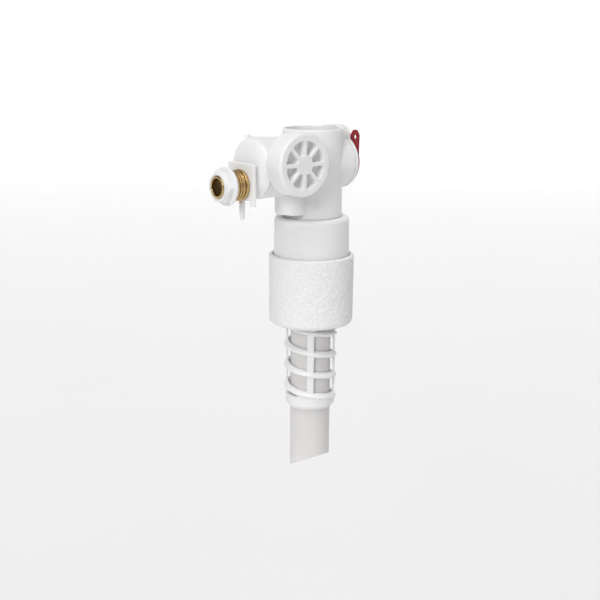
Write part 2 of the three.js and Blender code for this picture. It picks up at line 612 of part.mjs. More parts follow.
function levelRing() {
  const [low, high] = [FLOAT.cupFloor + GAP, FLOAT.cupFloor + GAP + 3];
  return named('level_ring', 'grey', turned([[21.6, low], [26.5, low], [26.5, high - 0.8],
    [25.7, high], [21.6, high]]));
}

// The cage: four slats between a solid foot and a top ring, wound with a coarse left-hand thread.
function stem() {
  const foot = solid(turned([[STEM.bore, STEM.bottom], [17.5, STEM.bottom], [STEM.slatOuter, STEM.bottom + 3.2],
    [STEM.slatOuter, STEM.collarTop], [STEM.bore, STEM.collarTop]]));
  const head = solid(turned([[STEM.bore, STEM.top - 8], [21.4, STEM.top - 8], [21.4, STEM.top - 0.6],
    [20.8, STEM.top], [STEM.bore, STEM.top]]));
  let cage = foot.add(head);
  const slats = 4;
  const half = (8 * Math.PI) / 180;
  for (let i = 0; i < slats; i += 1) {
    const middle = ((50 + 90 * i) * Math.PI) / 180;
    const outline = sector(STEM.slatInner, STEM.slatOuter, middle - half, middle + half);
    cage = cage.add(solid(pulled(outline, STEM.collarTop - 0.5, STEM.top - 7.5, 2)));
  }
  const lowest = STEM.collarTop + 1;
  const turns = (THREAD.end - lowest) / THREAD.pitch;
  const phase = (THREAD.end - threadHeight(0)) / THREAD.pitch;
  const curve = new Helix(THREAD.root, -THREAD.pitch, THREAD.end, turns, -2 * Math.PI * phase);
  const [inward, outward] = [THREAD.band - THREAD.root, THREAD.crest - THREAD.root];
  const rib = polygon([[inward, -3.4], [inward + 1.5, -3.4], [outward, -0.8], [outward, 0.8],
    [inward + 1.5, 3.4], [inward, 3.4]]);
  const rodHole = solid(ring(0, ROD.radius + 0.15, ROD.bottom - 0.3, 200, 20).translate(ROD.x, ROD.y, 0));
  return named('stem', 'white', cage.add(solid(wound(curve, rib, 20))).subtract(rodHole));
}

// The down tube, cut off at a slant.
function downTube() {
  const pipe = solid(ring(TUBE.inner, TUBE.outer, -20, TUBE.top));
  const tilt = Math.atan(TUBE.cutSlope);
  const below = block([-60, 60], [-60, 60], [-60, 0]).rotateX(-tilt).translate(0, 0, TUBE.cutMiddle);
  return named('down_tube', 'tubeWhite', pipe.subtract(solid(below)));
}

function tubeSeal() {
  return named('tube_seal', 'rubber', ring(TUBE.inner + 0.1, TUBE.outer, TUBE.top + 0.2, TOWER.socketTop - 0.2));
}

// ---- assembly -----------------------------------------------------------------------------------

const valve = new THREE.Group();
valve.name = 'fill_valve';
valve.add(valveBody(), hood(), inletCover(), inletCoverRing(), antiRotationPlate(), inletNipple(),
  inletGasket(), inletFilter(), flowRestrictor(), outletElbow(), valveSeat(), diaphragm(), poppet(),
  diaphragmSpring(), starCap(), starCapRing(), backNut(), nutWasher(), endCover(), shutoffLever(),
  leverSpindle(), leverWasher(), pilotNozzle(), pilotLever(), pilotPin(), pilotSeal(), pushRod(),
  foamFloat(), floatInsert(), levelRing(), stem(), downTube(), tubeSeal());
valve.position.set(-INLET.clamp, 0, -INLET.z);

export default valve;
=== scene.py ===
# A toilet fill valve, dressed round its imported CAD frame. Metres, in the CAD's own frame.
import json
import math

import bmesh
import bpy
from mathutils import Matrix, Quaternion, Vector, noise


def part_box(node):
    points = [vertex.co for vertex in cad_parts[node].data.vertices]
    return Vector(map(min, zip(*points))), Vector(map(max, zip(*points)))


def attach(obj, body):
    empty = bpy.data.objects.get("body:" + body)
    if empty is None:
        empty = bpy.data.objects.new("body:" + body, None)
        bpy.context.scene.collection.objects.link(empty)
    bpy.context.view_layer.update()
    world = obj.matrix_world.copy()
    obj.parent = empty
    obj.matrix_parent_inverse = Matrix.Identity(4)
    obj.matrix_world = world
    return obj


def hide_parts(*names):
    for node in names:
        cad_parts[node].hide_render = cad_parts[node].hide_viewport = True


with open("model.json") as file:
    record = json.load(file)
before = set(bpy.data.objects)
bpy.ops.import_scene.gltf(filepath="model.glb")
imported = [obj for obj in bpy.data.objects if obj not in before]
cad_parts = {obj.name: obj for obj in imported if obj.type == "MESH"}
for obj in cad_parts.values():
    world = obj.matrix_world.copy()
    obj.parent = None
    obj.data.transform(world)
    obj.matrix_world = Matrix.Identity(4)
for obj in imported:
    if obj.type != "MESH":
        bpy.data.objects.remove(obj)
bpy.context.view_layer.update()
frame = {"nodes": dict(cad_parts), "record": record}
MM = 0.001

# Every size below is in mm. x and y are counted from the tower's axis, and z from the lowest
# point of the down tube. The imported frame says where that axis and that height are.
HOOD_TOP = 211.0
_low, _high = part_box("hood")
AXIS_X = (_low.x + _high.x) / 2
BASE_Z = _high.z - HOOD_TOP * MM
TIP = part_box("down_tube")[0].z

# The open tower, and the socket under its floor that the down tube is pushed into.
TOWER_OUTER, TOWER_BORE, TOWER_TOP, TOWER_FLOOR, TOWER_LOW = 23.3, 21.0, 279.0, 229.0, 211.3
SKIRT, SKIRT_FOOT, SKIRT_LOW = 22.0, 22.8, 204.6
SOCKET_TOP, SOCKET, FUNNEL = 226.0, 16.2, 14.5

# The vessel that lies across the tower, its right-hand stub and the hump over that end.
DRUM_Z, DRUM_LEFT, DRUM_RADIUS, DRUM_BAND, DRUM_BAND_END = 252.0, -57.4, 22.3, 22.9, -43.7
DRUM_BORE, DRUM_BLIND = 19.6, -28.0
STUB, STUB_END, HUMP_TOP = 20.5, 27.2, 28.2
RIB_LEAN = -22.0

# The boss for the diaphragm and the service cap, which faces -Y.
BOSS_X, BOSS_Z = -40.6, 257.0
BOSS_COLLAR, BOSS_COLLAR_END, BOSS_NECK, BOSS_NECK_END = 15.3, 22.0, 18.6, 27.0
BOSS_THROAT, BOSS_BORE = 12.5, 15.0
CAP_RADIUS, CAP_BACK, CAP_FACE, CAP_SKIRT, CAP_PLUG = 23.4, 23.3, 40.0, 19.0, 14.5
CAP_RIBS, CAP_RIM, CAP_HUB, CAP_HALF_RIB, CAP_POCKET = 8, 17.4, 7.4, 1.4, 34.5

# The duct that leads the water down from the vessel.
DUCT_X, DUCT, DUCT_POCKET, DUCT_LOW, DUCT_TOP = -18.0, 15.0, 12.5, 215.0, 236.0

# The brass inlet, the plate behind it and the domed cover that holds both.
INLET_Z, INLET_CLAMP, INLET_MOUTH = 240.7, -80.4, -91.0
INLET_BORE, SHANK, SHANK_HOLE, INLET_COLLAR = 6.4, 8.33, 8.58, 11.75
THREAD_PITCH, THREAD_DEPTH = 1.337, 0.5
PLATE_FACE, PLATE_BACK, PLATE_HALF = -69.1, -66.9, 15.5
COVER_BACK, COVER_CROWN, COVER_COLLAR, COVER_COLLAR_END = -57.7, -64.4, 12.2, -66.6

# The pilot passage in the boss's wall, and the rod that lifts the pilot lever.
PILOT_Z = 262.5
PASSAGE_X = BOSS_X + math.sqrt(16.6 ** 2 - (PILOT_Z - BOSS_Z) ** 2)
ROD_X, ROD_Y, ROD, ROD_HOLE = 16.45, 9.5, 1.3, 1.65

# The right-hand end.
END_COVER, END_IN, END_OUT = 20.9, 27.5, 30.0
SPINDLE, SPINDLE_HOLE, SPINDLE_HEAD = 4.0, 4.06, 6.4
LEVER_IN, LEVER_OUT, LEVER_DISC = 30.3, 32.1, 19.0

# The cage stem round the down tube, with its coarse left-handed thread.
STEM_BORE, STEM_BAR, STEM_THREAD = 16.45, 19.7, 21.2
STEM_FOOT, STEM_HEAD, STEM_TOP = 56.4, 183.5, 191.5
PITCH = 17.25
TUBE, TUBE_BORE, TUBE_TOP = 16.0, 14.5, 224.2

# The camera's bearing, from -Y towards -X, in degrees. The floor is turned to face it.
CAMERA_BEARING = 40.0


# ---- meshes, drawn in millimetres ------------------------------------------------------------

FORWARD = Matrix.Rotation(math.pi / 2, 4, "X")


def rounded(corners, steps=6):
    """A closed outline from (x, y, corner radius), each corner turned into an arc."""
    points = []
    for i, (x, y, radius) in enumerate(corners):
        here = Vector((x, y))
        if radius == 0:
            points.append(here)
            continue
        to_last = Vector(corners[i - 1][:2]) - here
        to_next = Vector(corners[(i + 1) % len(corners)][:2]) - here
        half = to_last.angle(to_next) / 2
        reach = min(radius / math.tan(half), 0.49 * min(to_last.length, to_next.length))
        arc = reach * math.tan(half)
        u, v = to_last.normalized(), to_next.normalized()
        centre = here + (u + v).normalized() * (arc / math.sin(half))
        start, end = here + u * reach - centre, here + v * reach - centre
        first = math.atan2(start.y, start.x)
        sweep = math.atan2(end.y, end.x) - first
        sweep = (sweep + math.pi) % (2 * math.pi) - math.pi
        for k in range(steps + 1):
            a = first + sweep * k / steps
            points.append(centre + arc * Vector((math.cos(a), math.sin(a))))
    return points


def spaced(points, step):
    """The same closed outline with no side longer than step."""
    dense = []
    for i, p in enumerate(points):
        q = points[(i + 1) % len(points)]
        count = max(1, math.ceil((q - p).length / step))
        dense.extend(p.lerp(q, k / count) for k in range(count))
    return dense


def lathe(outline, sides=128):
    """Turns (radius, height) points about +Z. An outline that touches the axis starts and
    ends on it."""
    work = bmesh.new()
    rings = []
    for r, z in outline:
        if r < 1e-6:
            rings.append([work.verts.new((0, 0, z))])
            continue
        turn = [2 * math.pi * i / sides for i in range(sides)]
        rings.append([work.verts.new((r * math.cos(a), r * math.sin(a), z)) for a in turn])
    pairs = list(zip(rings, rings[1:]))
    if len(rings[0]) > 1:
        pairs.append((rings[-1], rings[0]))
    for one, two in pairs:
        for i in range(sides):
            j = (i + 1) % sides
            ring = [one[i % len(one)], one[j % len(one)], two[j % len(two)], two[i % len(two)]]
            corners = list(dict.fromkeys(ring))
            if len(corners) > 2:
                work.faces.new(corners)
    bmesh.ops.recalc_face_normals(work, faces=work.faces)
    return work


def prism(outline, low, high):
    """A flat outline pulled up along +Z."""
    work = bmesh.new()
    under = [work.verts.new((p[0], p[1], low)) for p in outline]
    over = [work.verts.new((p[0], p[1], high)) for p in outline]
    work.faces.new(under)
    work.faces.new(over)
    for i in range(len(outline)):
        j = (i + 1) % len(outline)
        work.faces.new((under[i], under[j], over[j], over[i]))
    bmesh.ops.recalc_face_normals(work, faces=work.faces)
    return work


def block(x, y, z):
    """A box from three (low, high) pairs."""
    return prism([(x[0], y[0]), (x[1], y[0]), (x[1], y[1]), (x[0], y[1])], z[0], z[1])


def rod(radius, low, high, sides=96):
    """A plain round bar along +Z."""
    return lathe([(0, low), (radius, low), (radius, high), (0, high)], sides)


def moved(work, matrix):
    bmesh.ops.transform(work, matrix=matrix, verts=work.verts)
    return work


def upright(work, x, y=0.0):
    """Shifts a piece drawn about +Z to another upright axis."""
    return moved(work, Matrix.Translation((x, y, 0)))


def along_x(work, z):
    """Lays a piece drawn about +Z along +X, at a height."""
    return moved(work, Matrix.Translation((0, 0, z)) @ Matrix.Rotation(math.pi / 2, 4, "Y"))


def forward(work, x, z):
    """Lays a piece drawn about +Z along -Y, towards the service cap."""
    return moved(work, Matrix.Translation((x, 0, z)) @ FORWARD)


def across_x(work, z):
    """Stands an outline drawn as (-Y, height) upright, its pull running along -X."""
    turn = Matrix(((0, 0, -1, 0), (-1, 0, 0, 0), (0, 1, 0, z), (0, 0, 0, 1)))
    return moved(work, turn)


def held(work, name="part"):
    """Hands a bmesh over to a new object in the scene."""
    mesh = bpy.data.meshes.new(name)
    work.to_mesh(mesh)
    work.free()
    obj = bpy.data.objects.new(name, mesh)
    bpy.context.scene.collection.objects.link(obj)
    return obj


def settled(obj):
    """Replaces an object's mesh by what its modifiers make of it."""
    mesh = bpy.data.meshes.new_from_object(obj.evaluated_get(bpy.context.evaluated_depsgraph_get()))
    obj.modifiers.clear()
    obj.data = mesh
    return obj


def carved(adds, cuts=()):
    """One closed solid from several, less the cutters."""
    base = held(adds[0])
    tools = []
    for kind, group in (("UNION", adds[1:]), ("DIFFERENCE", cuts)):
        for work in group:
            tool = held(work)
            tools.append(tool)
            step = base.modifiers.new("cut", "BOOLEAN")
            step.operation = kind
            step.solver = "MANIFOLD"
            step.object = tool
    settled(base)
    for tool in tools:
        bpy.data.objects.remove(tool)
    return base


def moulded(obj, voxel, rounds=3, keep=1.0):
    """Softens every edge by remeshing and smoothing, as a mould does."""
    step = obj.modifiers.new("voxels", "REMESH")
    step.mode = "VOXEL"
    step.voxel_size = voxel
    step = obj.modifiers.new("soften", "SMOOTH")
    step.factor = 0.5
    step.iterations = rounds
    if keep < 1:
        step = obj.modifiers.new("lighten", "DECIMATE")
        step.ratio = keep
    return settled(obj)


def edged(obj, width, segments):
    """Rounds every edge sharper than 40 degrees."""
    step = obj.modifiers.new("edge", "BEVEL")
    step.width = width
    step.segments = segments
    step.limit_method = "ANGLE"
    step.angle_limit = math.radians(40)
    return obj


def placed(obj, name, nodes, body, material, crease=40):
    """Puts a piece in the CAD's frame, in place of its nodes and inside their box."""
    obj.name = name
    obj.data.name = name
    lows, highs = zip(*[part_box(n) for n in nodes])
    low = [min(c[i] for c in lows) for i in range(3)]
    high = [max(c[i] for c in highs) for i in range(3)]
    shift = Vector((AXIS_X, 0, BASE_Z))
    for v in obj.data.vertices:
        p = v.co * MM + shift
        v.co = [min(max(p[i], low[i]), high[i]) for i in range(3)]
    obj.data.update()
    obj.data.polygons.foreach_set("use_smooth", [True] * len(obj.data.polygons))
    obj.data.set_sharp_from_angle(angle=math.radians(crease))
    obj.data.materials.clear()
    obj.data.materials.append(MATERIALS[material])
    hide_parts(*nodes)
    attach(obj, body)


# ---- materials -------------------------------------------------------------------------------

def finish_of(name, light, dark, grain, rough, metallic=0.0, bump=0.05, bump_scale=900.0,
              depth=0.00003, milky=0.0):
    """A procedural finish: two close colours and a roughness range that vary over a grain, a
    finer relief of that strength, scale and depth in metres, and light soaking into the skin."""
    material = bpy.data.materials.new(name)
    material.use_nodes = True
    tree = material.node_tree
    shade = tree.nodes["Principled BSDF"]
    place = tree.nodes.new("ShaderNodeTexCoord")
    cloud = tree.nodes.new("ShaderNodeTexNoise")
    cloud.inputs["Scale"].default_value = grain
    cloud.inputs["Detail"].default_value = 4.0
    tree.links.new(place.outputs["Object"], cloud.inputs["Vector"])
    ramp = tree.nodes.new("ShaderNodeValToRGB")
    ramp.color_ramp.elements[0].position = 0.3
    ramp.color_ramp.elements[0].color = (*dark, 1)
    ramp.color_ramp.elements[1].position = 0.7
    ramp.color_ramp.elements[1].color = (*light, 1)
    tree.links.new(cloud.outputs["Fac"], ramp.inputs["Fac"])
    tree.links.new(ramp.outputs["Color"], shade.inputs["Base Color"])
    gloss = tree.nodes.new("ShaderNodeMapRange")
    gloss.inputs["To Min"].default_value = rough[0]
    gloss.inputs["To Max"].default_value = rough[1]
    tree.links.new(cloud.outputs["Fac"], gloss.inputs["Value"])
    tree.links.new(gloss.outputs["Result"], shade.inputs["Roughness"])
    fine = tree.nodes.new("ShaderNodeTexNoise")
    fine.inputs["Scale"].default_value = bump_scale
    tree.links.new(place.outputs["Object"], fine.inputs["Vector"])
    relief = tree.nodes.new("ShaderNodeBump")
    relief.inputs["Strength"].default_value = bump
    relief.inputs["Distance"].default_value = depth
    tree.links.new(fine.outputs["Fac"], relief.inputs["Height"])
    tree.links.new(relief.outputs["Normal"], shade.inputs["Normal"])
    shade.inputs["Metallic"].default_value = metallic
    if milky:
        shade.inputs["Subsurface Weight"].default_value = milky
        shade.inputs["Subsurface Radius"].default_value = (1.0, 0.95, 0.88)
        shade.inputs["Subsurface Scale"].default_value = 0.005
    return material


def all_materials():
    return {
        "white_plastic": finish_of("white_plastic", (0.87, 0.868, 0.86), (0.84, 0.838, 0.832), 90,
                                   (0.34, 0.48), bump=0.12, bump_scale=1500, milky=0.45),
        "tube_plastic": finish_of("tube_plastic", (0.75, 0.725, 0.71), (0.72, 0.695, 0.68), 60,
                                  (0.36, 0.5), bump=0.1, bump_scale=1100, milky=0.4),
        "foam": finish_of("foam", (0.88, 0.878, 0.872), (0.81, 0.808, 0.80), 420, (0.75, 0.95),
                          bump=0.5, bump_scale=900, depth=0.00025, milky=0.2),
        "brass": finish_of("brass", (0.62, 0.45, 0.22), (0.52, 0.37, 0.18), 260, (0.2, 0.3),
                           metallic=1.0, bump=0.06, bump_scale=2200),
        "red_plastic": finish_of("red_plastic", (0.27, 0.008, 0.015), (0.22, 0.006, 0.011), 150,
                                 (0.35, 0.5), bump=0.12, bump_scale=1400, milky=0.1),
        "rubber": finish_of("rubber", (0.035, 0.034, 0.033), (0.022, 0.022, 0.022), 400,
                            (0.6, 0.85), bump=0.25),
        "fibre": finish_of("fibre", (0.70, 0.68, 0.63), (0.58, 0.56, 0.51), 700, (0.8, 0.95),
                           bump=0.5, bump_scale=1800, depth=0.0001),
        "steel": finish_of("steel", (0.66, 0.67, 0.68), (0.54, 0.55, 0.56), 500, (0.22, 0.4),
                           metallic=1.0, bump=0.15, bump_scale=2500),
        "grey_plastic": finish_of("grey_plastic", (0.40, 0.42, 0.43), (0.34, 0.36, 0.37), 120,
                                  (0.4, 0.55), bump=0.15, bump_scale=1400),
    }


MATERIALS = all_materials()


# ---- the body --------------------------------------------------------------------------------

def end_hump(from_x, to_x):
    """The hump over the right-hand end, from one x to another."""
    back, front, low = -12.3, 10.8, 8
    outline = rounded([(back, low, 0), (front, low, 0), (front, HUMP_TOP, 9),
                       (back, HUMP_TOP, 4.5)], 10)
    return across_x(prism(outline, -to_x, -from_x), DRUM_Z)


def top_rib():
    """The low rib along the vessel, with a lug at its left end, leaned away from the cap."""
    top = DRUM_Z + DRUM_BAND
    outline = [(DRUM_LEFT, top - 3), (DRUM_LEFT, top + 2.8), (DRUM_LEFT + 4, top + 2.8),
               (DRUM_LEFT + 5, top + 1.2), (-30, top - 0.6), (-30, top - 3)]
    stood = moved(prism(outline, -1.4, 1.4), FORWARD)
    lean = Matrix.Rotation(math.radians(RIB_LEAN), 4, "X")
    axis = Matrix.Translation((0, 0, DRUM_Z))
    return moved(stood, axis @ lean @ axis.inverted())


def body_adds():
    low = TOWER_LOW - 0.25
    tower = lathe(rounded([
        (0, SKIRT_LOW, 0), (SKIRT_FOOT, SKIRT_LOW, 0.8), (SKIRT_FOOT, 207.0, 0.6),
        (SKIRT, 207.4, 0), (SKIRT, low, 0), (TOWER_OUTER, low, 0.15),
        (TOWER_OUTER, TOWER_TOP, 0.8), (0, TOWER_TOP, 0)]))
    vessel = along_x(lathe(rounded([
        (0, DRUM_LEFT, 0), (DRUM_BAND, DRUM_LEFT, 0.6), (DRUM_BAND, DRUM_BAND_END, 0.5),
        (DRUM_RADIUS, DRUM_BAND_END, 0), (DRUM_RADIUS, -6, 0), (0, -6, 0)])), DRUM_Z)
    boss = forward(lathe(rounded([
        (0, 4, 0), (BOSS_COLLAR, 4, 0), (BOSS_COLLAR, BOSS_COLLAR_END, 0),
        (BOSS_NECK, BOSS_COLLAR_END, 0.5), (BOSS_NECK, BOSS_NECK_END, 0.8),
        (0, BOSS_NECK_END, 0)])), BOSS_X, BOSS_Z)
    stub = along_x(rod(STUB, 6, STUB_END), DRUM_Z)
    duct = upright(rod(DUCT, DUCT_LOW, DUCT_TOP), DUCT_X)
    passage = forward(rod(2.4, 15, 22.4, 48), PASSAGE_X, PILOT_Z)
    return [tower, vessel, boss, stub, end_hump(14, STUB_END), top_rib(), duct, passage]


def duct_pocket():
    """The open recess under the duct, beside the tower's wall."""
    hollow = upright(rod(DUCT_POCKET, 200, 226), DUCT_X)
    pocket = carved([hollow], [rod(TOWER_OUTER - 0.7, 190, 240)])
    work = bmesh.new()
    work.from_mesh(pocket.data)
    bpy.data.objects.remove(pocket)
    return work


def body_cuts():
    """The tower's and the tube's bores, then the vessel's, the boss's and the small holes."""
    throat = [(0, 6), (BOSS_THROAT, 6), (BOSS_THROAT, 23.4), (BOSS_BORE, 24), (BOSS_BORE, 32),
              (0, 32)]
    ring_groove = [(16.9, 24.4), (20, 24.4), (20, 26.2), (16.9, 26.2)]
    return [
        rod(TOWER_BORE, TOWER_FLOOR, TOWER_TOP + 10),
        lathe([(0, SOCKET_TOP - 1), (FUNNEL, SOCKET_TOP - 1), (FUNNEL, SOCKET_TOP),
               (FUNNEL + 2, TOWER_FLOOR + 1), (0, TOWER_FLOOR + 1)]),
        rod(SOCKET, 199, SOCKET_TOP),
        upright(rod(ROD_HOLE, 190, 240, 32), ROD_X, ROD_Y),
        along_x(rod(DRUM_BORE, DRUM_LEFT - 5, DRUM_BLIND), DRUM_Z),
        forward(lathe(throat), BOSS_X, BOSS_Z),
        along_x(rod(6.85, -30, -15), INLET_Z),
        forward(lathe(ring_groove), BOSS_X, BOSS_Z),
        forward(rod(1.3, -20.2, 20.2, 32), -10, 258),
        along_x(rod(SPINDLE_HOLE, 22.6, 40), DRUM_Z),
        duct_pocket(),
        forward(rod(1.2, -1, 30, 32), PASSAGE_X, PILOT_Z),
        along_x(rod(1.9, PASSAGE_X, -18, 32), PILOT_Z),
        block((-75, DRUM_LEFT), (-60, 60), (200, 300)),
    ]


def valve_body():
    body = moulded(carved(body_adds(), body_cuts()), 0.5, 3, 0.4)
    placed(body, "body_moulding", ["valve_body"], "head", "white_plastic", 50)


def hood():
    low, mouth, ledge = 160, 22.3, 208.6
    outline = rounded([(27.5, low, 0.4), (29.8, low, 0.7), (29.2, HOOD_TOP, 3),
                       (mouth, HOOD_TOP, 0.3), (mouth, ledge, 0.3), (26.5, ledge, 0),
                       (27.5, 207, 0.6)])
    placed(held(lathe(outline, 160)), "hood_shell", ["hood"], "head", "white_plastic")


def inlet_cover():
    """The domed left-hand cover, with its off-centre collar and the spigot inside the vessel."""
    wide, rise, springs, steps = 22.2, 5.4, -59.0, 24
    turn = [math.radians(80) * k / steps for k in range(steps + 1)]
    dome = [(wide * math.sin(a), springs - rise * math.cos(a)) for a in turn]
    rim = rounded([(22.5, -59.4, 0), (DRUM_BAND, -58.5, 0.2), (DRUM_BAND, COVER_BACK, 0.2),
                   (19.3, COVER_BACK, 0), (19.3, -52, 0.6), (0, -52, 0)])
    disc = along_x(lathe([(0, COVER_CROWN)] + dome[1:] + rim), DRUM_Z)
    ring = rounded([(0, COVER_COLLAR_END, 0), (COVER_COLLAR, COVER_COLLAR_END, 0.5),
                    (COVER_COLLAR, -59.1, 0), (0, -59.1, 0)])
    collar = along_x(lathe(ring), INLET_Z)
    cuts = [along_x(rod(16.6, -57.1, -40), DRUM_Z),
            along_x(rod(SHANK_HOLE, -80, -58.6), INLET_Z),
            along_x(rod(INLET_BORE, -80, -56.9), INLET_Z),
            along_x(lathe([(17.6, -55.9), (22, -55.9), (22, -53.7), (17.6, -53.7)]), DRUM_Z)]
    cover = moulded(carved([disc, collar], cuts), 0.4, 2, 0.5)
    placed(cover, "inlet_end_cover", ["inlet_cover"], "head", "white_plastic", 50)


def plate():
    """The square plate that stops the valve turning, with its tongue and its corner lug."""
    wide, low, high = PLATE_HALF, 230.4, 257.0
    outline = rounded([(-wide, low, 1.5), (wide, low, 0.6), (wide, high, 1.5), (-wide, high, 1.5)])
    sheet = across_x(prism(outline, -PLATE_BACK, -PLATE_FACE), 0)
    middle, end = (PLATE_FACE + PLATE_BACK) / 2, low - 16
    root = 2.35
    tongue = upright(lathe([
        (0, end), (0.7, end + 0.08), (1.2, end + 0.35), (1.6, end + 0.8), (1.85, end + 1.4),
        (2, end + 2.2), (root, low - 2.6), (0, low - 2.6)], 48), middle)
    neck = block((PLATE_FACE, PLATE_BACK), (-root, root), (low - 4, low + 1))
    lug = block((PLATE_FACE, PLATE_BACK), (-wide, 5 - wide), (low - 4.5, low + 3))
    hole = along_x(rod(SHANK_HOLE, -90, -50), INLET_Z)
    part = moulded(carved([sheet, tongue, neck, lug], [hole]), 0.3, 3, 0.5)
    placed(part, "plate_moulding", ["anti_rotation_plate"], "head", "white_plastic", 50)


# ---- the inlet -------------------------------------------------------------------------------

def threaded(work, radius, first, last, pitch, depth):
    """Waves the lathe's wall at that radius into a screw thread that runs out at both ends."""
    for v in work.verts:
        r = math.hypot(v.co.x, v.co.y)
        if abs(r - radius) > 1e-4 or not first <= v.co.z <= last:
            continue
        fade = min(1.0, (v.co.z - first) / pitch, (last - v.co.z) / pitch)
        wave = 0.5 - 0.5 * math.cos(2 * math.pi * v.co.z / pitch + math.atan2(v.co.y, v.co.x))
        k = (radius - depth * fade * wave) / radius
        v.co.x *= k
        v.co.y *= k
    return work


def nipple():
    """The brass inlet: a shank, a collar turned into rings, and the threaded end."""
    inner_end, first, collar = -60.1, PLATE_FACE - 0.5, INLET_COLLAR
    corners = [(INLET_BORE, inner_end, 0.3), (SHANK, inner_end, 0.4), (SHANK, first, 0),
               (collar, first, 0.5), (collar, first - 2.4, 0.4), (collar - 1.5, first - 2.9, 0.3)]
    x = first - 3.9
    while x - 2.0 > INLET_CLAMP:
        corners += [(collar - 1.4, x, 0.2), (collar - 0.3, x - 0.3, 0.25),
                    (collar - 0.3, x - 1.5, 0.25), (collar - 1.2, x - 1.8, 0.2)]
        x -= 2.2
    corners += [(collar - 1.2, INLET_CLAMP, 0.1), (SHANK, INLET_CLAMP, 0),
                (SHANK, INLET_MOUTH, 0.8), (INLET_BORE, INLET_MOUTH, 0.4)]
    turned = lathe(spaced(rounded(corners, 4), 0.22), 128)
    part = threaded(turned, SHANK, INLET_MOUTH + 0.9, INLET_CLAMP - 0.1, THREAD_PITCH, THREAD_DEPTH)
    placed(held(along_x(part, INLET_Z)), "brass_nipple", ["inlet_nipple"], "head", "brass", 60)


def back_nut():
    """A hexagon between a broad flange at the wall and a tapering front."""
    flat = 11.3
    corner = flat / math.cos(math.pi / 6)
    hexagon = rounded([(corner * math.cos(math.pi * i / 3), corner * math.sin(math.pi * i / 3), 0.8)
                       for i in range(6)])
    core = across_x(prism(hexagon, 84.0, 88.4), INLET_Z)
    flange_side = [(0, -84.2, 0), (14.45, -84, 0.6), (14.45, -81.7, 0.7), (0, -81.7, 0)]
    front_side = [(0, -90.5, 0), (10.45, -90.5, 0.6), (10.9, -87.6, 0), (0, -87.6, 0)]
    flange = along_x(lathe(rounded(flange_side)), INLET_Z)
    front = along_x(lathe(rounded(front_side)), INLET_Z)
    bore = along_x(rod(8.5, -95, -75), INLET_Z)
    part = moulded(carved([core, flange, front], [bore]), 0.3, 3, 0.5)
    placed(part, "nut_moulding", ["back_nut"], "back_nut", "white_plastic", 50)


def nut_washer():
    hole, edge, left, right = 8.8, 13.2, -81.4, -80.7
    outline = rounded([(hole, left, 0.15), (edge, left, 0.2), (edge, right, 0.2), (hole, right, 0.15)])
    washer = held(along_x(lathe(outline), INLET_Z))
    placed(washer, "fibre_washer", ["nut_washer"], "nut_washer", "fibre")


# ---- the service cap -------------------------------------------------------------------------

def cap_pocket(middle, spread):
    """The hollow between two ribs, whose sides run parallel to them."""
    outer = spread / 2 - math.asin(CAP_HALF_RIB / CAP_RIM)
    inner = spread / 2 - math.asin(CAP_HALF_RIB / CAP_HUB)
    steps = 10
    outline = []
    for k in range(steps + 1):
        a = middle - outer + 2 * outer * k / steps
        corner = 1.2 if k in (0, steps) else 0
        outline.append((CAP_RIM * math.cos(a), CAP_RIM * math.sin(a), corner))
    for a in (middle + inner, middle - inner):
        outline.append((CAP_HUB * math.cos(a), CAP_HUB * math.sin(a), 0.4))
    return prism(rounded(outline, 4), CAP_POCKET, 45)


def star_cap():
    inside = 29.6
    outline = rounded([(0, 32.5, 0), (CAP_PLUG, 32.5, 0.3), (CAP_PLUG, inside, 0.3),
                       (CAP_SKIRT, inside, 0.3), (CAP_SKIRT, CAP_BACK, 0.4),
                       (CAP_RADIUS, CAP_BACK, 0.8), (CAP_RADIUS, CAP_FACE, 1.8), (0, CAP_FACE, 0)])
    spread = 2 * math.pi / CAP_RIBS
    pockets = [cap_pocket(spread * (i + 0.5), spread) for i in range(CAP_RIBS)]
    part = carved([lathe(outline)], pockets)
    part.data.transform(Matrix.Translation((BOSS_X, 0, BOSS_Z)) @ FORWARD)
    placed(moulded(part, 0.4, 3, 0.5), "ribbed_cap", ["star_cap"], "star_cap", "white_plastic", 50)


# ---- the right-hand end ----------------------------------------------------------------------

def end_cover():
    side = [(0, END_IN, 0), (END_COVER, END_IN, 0.3), (END_COVER, END_OUT, 0.9), (0, END_OUT, 0)]
    disc = along_x(lathe(rounded(side)), DRUM_Z)
    hole = along_x(rod(SPINDLE_HOLE, 20, 40), DRUM_Z)
    part = moulded(carved([disc, end_hump(END_IN, END_OUT)], [hole]), 0.35, 3, 0.5)
    placed(part, "end_cover_moulding", ["end_cover"], "head", "white_plastic", 50)


def lever():
    """A disc with a pierced tab that stands out of it between two bearings."""
    low, high, steps = math.radians(18), math.radians(68), 72
    outline = []
    for k in range(steps + 1):
        a = low - (2 * math.pi - (high - low)) * k / steps
        outline.append((LEVER_DISC * math.cos(a), LEVER_DISC * math.sin(a), 0))
    outline += [(12.9, 24.9, 1.6), (15.9, 24.9, 1.6), (18.55, 21.2, 2.6)]
    sheet = across_x(prism(rounded(outline, 6), -LEVER_OUT, -LEVER_IN), DRUM_Z)
    hole = across_x(upright(rod(1.8, -40, -20, 48), 14.5, 19.4), DRUM_Z)
    pivot = along_x(rod(SPINDLE_HOLE, 20, 40), DRUM_Z)
    part = settled(edged(carved([sheet], [hole, pivot]), 0.35, 3))
    placed(part, "red_lever", ["shutoff_lever"], "shutoff_lever", "red_plastic")


